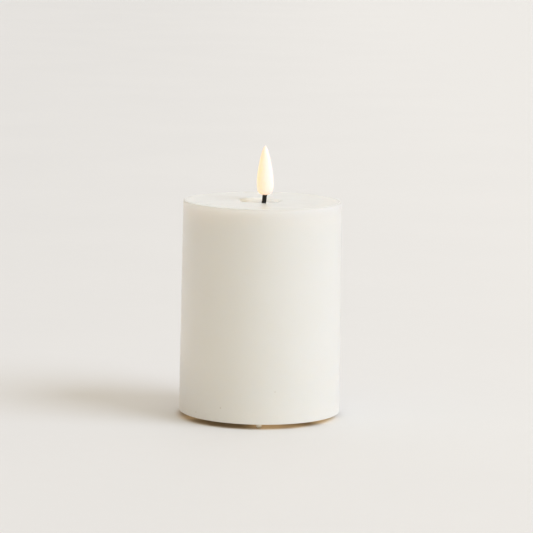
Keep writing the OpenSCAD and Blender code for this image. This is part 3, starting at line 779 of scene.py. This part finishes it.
def build_flame():
    """The hollow teardrop, open round the wick at its foot."""
    low = WAX_TOP + FLAME_OVER_TOP
    height, radius, belly = FLAME_HEIGHT, FLAME_RADIUS, FLAME_BELLY
    outside = curve_points((radius / 3, 0), (radius * 0.97, 0), (radius, belly / 2), (radius, belly), 26)
    outside += curve_points((radius, belly), (radius, belly + 2.16), (radius * 0.624, height * 0.865),
                            (0.36, height - 0.24), 40)[1:]
    outside += [(0.27, height - 0.12), (0.15, height - 0.03), (0, height)]
    inner = radius - FLAME_WALL
    high = height - FLAME_SOLID_TIP
    bore = WICK_RADIUS + 0.06
    upper = curve_points((inner, belly), (inner, belly + 2), (inner * 0.62, high * 0.86), (0.25, high), 20)
    lower = curve_points((bore, FLAME_WALL), (inner * 0.9, FLAME_WALL), (inner, belly / 2 + FLAME_WALL / 2),
                         (inner, belly), 14)
    inside = upper[::-1] + lower[::-1][1:]
    foot = on_wick(low + 1)
    foot.z = low * MM
    place = Matrix.Translation(foot) @ Matrix.Rotation(FLAME_TILT, 4, "Y")
    bm = bmesh.new()
    neck = [(bore, 0.0)]
    lathe(bm, neck + outside, FLAME_TURNS, place)
    lathe(bm, [(0, high + 0.02)] + inside + neck, FLAME_TURNS, place)
    shell = finish_mesh("flame_shell", bm, "candle", "flame", ["flame_bulb"], 60)
    # its glow is seen, but lights nothing, as in the photo
    shell.visible_diffuse = False
    shell.visible_glossy = False


class Strands:
    """The wick's section for swept(): three strands laid round each other, drawn tight."""

    sides = 48
    twist = 0.16
    seed = 2.0

    def __call__(self, i, a):
        lobes = abs(math.cos(1.5 * (a - self.twist * i)))
        fray = noise.noise(Vector((math.cos(a) * 3, math.sin(a) * 3, i * 0.22 + self.seed)))
        return WICK_RADIUS * (0.90 + 0.085 * lobes + 0.02 * fray)


class Bore:
    """The round bore of the wick for swept()."""

    sides = 48

    def __call__(self, i, a):
        return WICK_BORE


def build_wick():
    """The cord with its bore, joined at both ends; it follows the lean from inside the wax into the flame."""
    low = WAX_TOP - WICK_UNDER_TOP
    high = WAX_TOP + WICK_OVER_TOP
    path = [on_wick(low + (high - low) * i / WICK_STEPS) for i in range(WICK_STEPS + 1)]
    bm = bmesh.new()
    swept(bm, path, Strands())
    swept(bm, path, Bore())
    bm.edges.ensure_lookup_table()
    ends = [e for e in bm.edges if e.is_boundary]
    near_end = 5
    bmesh.ops.bridge_loops(bm, edges=[e for e in ends if e.verts[0].co.z < (low + near_end) * MM])
    bmesh.ops.bridge_loops(
        bm, edges=[e for e in ends if e.is_valid and e.verts[0].co.z > (high - near_end) * MM])
    finish_mesh("wick_cord", bm, "candle", "wick", ["wick_tube"], 70)


# ---- power ----


def build_cell(name, node, turned):
    """A battery: printed sleeve shrunk over both ends, steel end discs and a drawn positive button."""
    start, end = CELL_ENDS
    foot = [(0.0, start), (4.5, start), (4.8, start + 0.16), (SLEEVE_LIP, start + 0.16)]
    sleeve = [(SLEEVE_LIP, start + 0.04), (6.3, start + 0.01)]
    sleeve += arc(CELL_RADIUS - 0.7, start + 0.7, 0.7, -90, 0, 6)
    sleeve += arc(CELL_RADIUS - 0.9, end - 0.9, 0.9, 0, 90, 7) + [(6.2, end), (SLEEVE_LIP, end - 0.04)]
    head = [(SLEEVE_LIP, end - 0.2), (4.4, end - 0.2), (3.6, end - 0.12), (NUB_RADIUS + 0.35, end - 0.05),
            (NUB_RADIUS, end + 0.15), *arc(NUB_RADIUS - 0.3, end + 0.7, 0.3, 0, 90, 5), (0.0, end + 1.0)]
    place = TURN @ Matrix.Rotation(math.pi if turned else 0.0, 4, "Z")
    place = place @ Matrix.Translation(Vector((0, CELL_ACROSS, CELL_HEIGHT)) * MM)
    place = place @ Matrix.Rotation(math.radians(90), 4, "Y")
    bm = bmesh.new()
    lathe(bm, foot + sleeve + head, CELL_TURNS, place)
    back = place.inverted()
    for face in bm.faces:
        middle = back @ face.calc_center_median()
        face.material_index = int(math.hypot(middle.x, middle.y) < (SLEEVE_LIP - 0.01) * MM)
    finish_mesh(name, bm, "candle", "cell", [node], 35, [MATERIALS["tinned"]])


# ---- stage ----


def build_floor():
    """A wide plain floor with a warm painted shadow under the wax that stands over it, and painted light that
    makes it a little brighter on the right.
    """
    bm = bmesh.new()
    lathe(bm, [(r / MM, 0.0) for r in FLOOR_RINGS], FLOOR_TURNS)
    mesh = bpy.data.meshes.new("floor")
    bm.to_mesh(mesh)
    bm.free()
    floor = bpy.data.objects.new("floor", mesh)
    bpy.context.scene.collection.objects.link(floor)
    s = Shade("floor").set(IOR=1.4, Specular_IOR_Level=0.25)
    drift = s.span(s.noise(160, 3), 0.3, 0.7, 0.0, 0.12)
    # painted light: darker on the left, brighter on the right
    across = s.math("ADD", s.span(s.axis("X"), -FLOOR_FADE, FLOOR_FADE), drift, True)
    pale = s.mix(across, FLOOR_LEFT_PAINTED_SHADE, FLOOR_RIGHT_PAINTED_LIGHT)
    # painted shadow, warm, on the floor under the wax
    inputs = {0: s.coord, 1: Vector(PAINTED_SHADOW_MIDDLE) * MM}
    reach = s.node("ShaderNodeVectorMath", inputs, operation="DISTANCE").outputs["Value"]
    inner, outer = (WAX_RADIUS - UNDER_INSIDE) * MM, (WAX_RADIUS + UNDER_OUTSIDE) * MM
    s.link(s.mix(s.span(reach, inner, outer, 1.0, 0.0), pale, FLOOR_PAINTED_SHADOW_UNDER_WAX), "Base Color")
    s.link(s.span(s.noise(9, 3), 0.3, 0.7, 0.60, 0.68), "Roughness")
    s.bump(s.noise(1.3, 3), 0.03, 0.25)
    mesh.materials.append(s.mat)


def build_world():
    """Soft light of a room: an even part, and a part from each side that fades as it turns away."""
    world = bpy.data.worlds.new("studio")
    bpy.context.scene.world = world
    world.use_nodes = True
    tree = world.node_tree
    tree.nodes.clear()
    node = functools.partial(add_node, tree)
    ray = node("ShaderNodeTexCoord").outputs["Generated"]
    total = node("ShaderNodeCombineXYZ", {i: ROOM_EVEN[i] for i in range(3)}).outputs[0]
    for side, colour in ROOM_SIDES:
        facing = node("ShaderNodeVectorMath", {0: ray, 1: side}, operation="DOT_PRODUCT").outputs["Value"]
        level = node("ShaderNodeMath", {0: facing, 1: 0.0}, operation="MAXIMUM").outputs[0]
        part = node("ShaderNodeVectorMath", {0: colour, "Scale": level}, operation="SCALE").outputs[0]
        total = node("ShaderNodeVectorMath", {0: total, 1: part}, operation="ADD").outputs[0]
    room = node("ShaderNodeBackground", {"Color": total})
    seen = node("ShaderNodeBackground", {"Color": BACKDROP})
    path = node("ShaderNodeLightPath").outputs["Is Camera Ray"]
    both = node("ShaderNodeMixShader", {0: path, 1: room.outputs[0], 2: seen.outputs[0]})
    node("ShaderNodeOutputWorld", {"Surface": both.outputs[0]})


def build_key_light():
    """One large soft light from the right and in front."""
    sun = bpy.data.lights.new("key", "SUN")
    sun.energy = KEY_STRENGTH
    sun.color = KEY_COLOUR
    sun.angle = KEY_SOFTNESS
    lamp = bpy.data.objects.new("key", sun)
    bpy.context.scene.collection.objects.link(lamp)
    flat = math.cos(KEY_HEIGHT)
    toward = Vector((flat * math.cos(KEY_AZIMUTH), flat * math.sin(KEY_AZIMUTH), math.sin(KEY_HEIGHT)))
    lamp.rotation_mode = "QUATERNION"
    lamp.rotation_quaternion = toward.to_track_quat("Z", "Y")


def build_glow():
    """Warm light that soaks down through the wax into the gap over the floor."""
    for i, (place, radius, power) in enumerate(GLOWS):
        disc = bpy.data.lights.new(f"glow_{i}", "AREA")
        disc.shape = "DISK"
        disc.size = 2 * radius * MM
        disc.energy = power
        disc.color = GLOW_COLOUR
        lamp = bpy.data.objects.new(f"glow_{i}", disc)
        bpy.context.scene.collection.objects.link(lamp)
        lamp.location = Vector(place) * MM


def build_camera():
    """The photo's camera, fitted to the rims and the sides of the wax."""
    data = bpy.data.cameras.new("camera")
    data.lens = CAMERA_LENS
    data.sensor_width = 36.0
    data.clip_start, data.clip_end = 0.05, 60.0
    camera = bpy.data.objects.new("camera", data)
    bpy.context.scene.collection.objects.link(camera)
    camera.location = CAMERA_AT
    ahead = Vector(CAMERA_AIM) - Vector(CAMERA_AT)
    level = ahead.to_track_quat("-Z", "Y").to_matrix().to_4x4()
    turn = level @ Matrix.Rotation(math.radians(CAMERA_ROLL), 4, "Z")
    camera.rotation_mode = "QUATERNION"
    camera.rotation_quaternion = turn.to_quaternion()
    bpy.context.scene.camera = camera


# ---- build ----

dress_cad_nodes()
build_wax()
build_flame()
build_wick()
build_cell("cell_a", "battery_a", False)
build_cell("cell_b", "battery_b", True)
build_floor()
build_world()
build_key_light()
build_glow()
build_camera()
bpy.context.scene.view_settings.view_transform = "Standard"
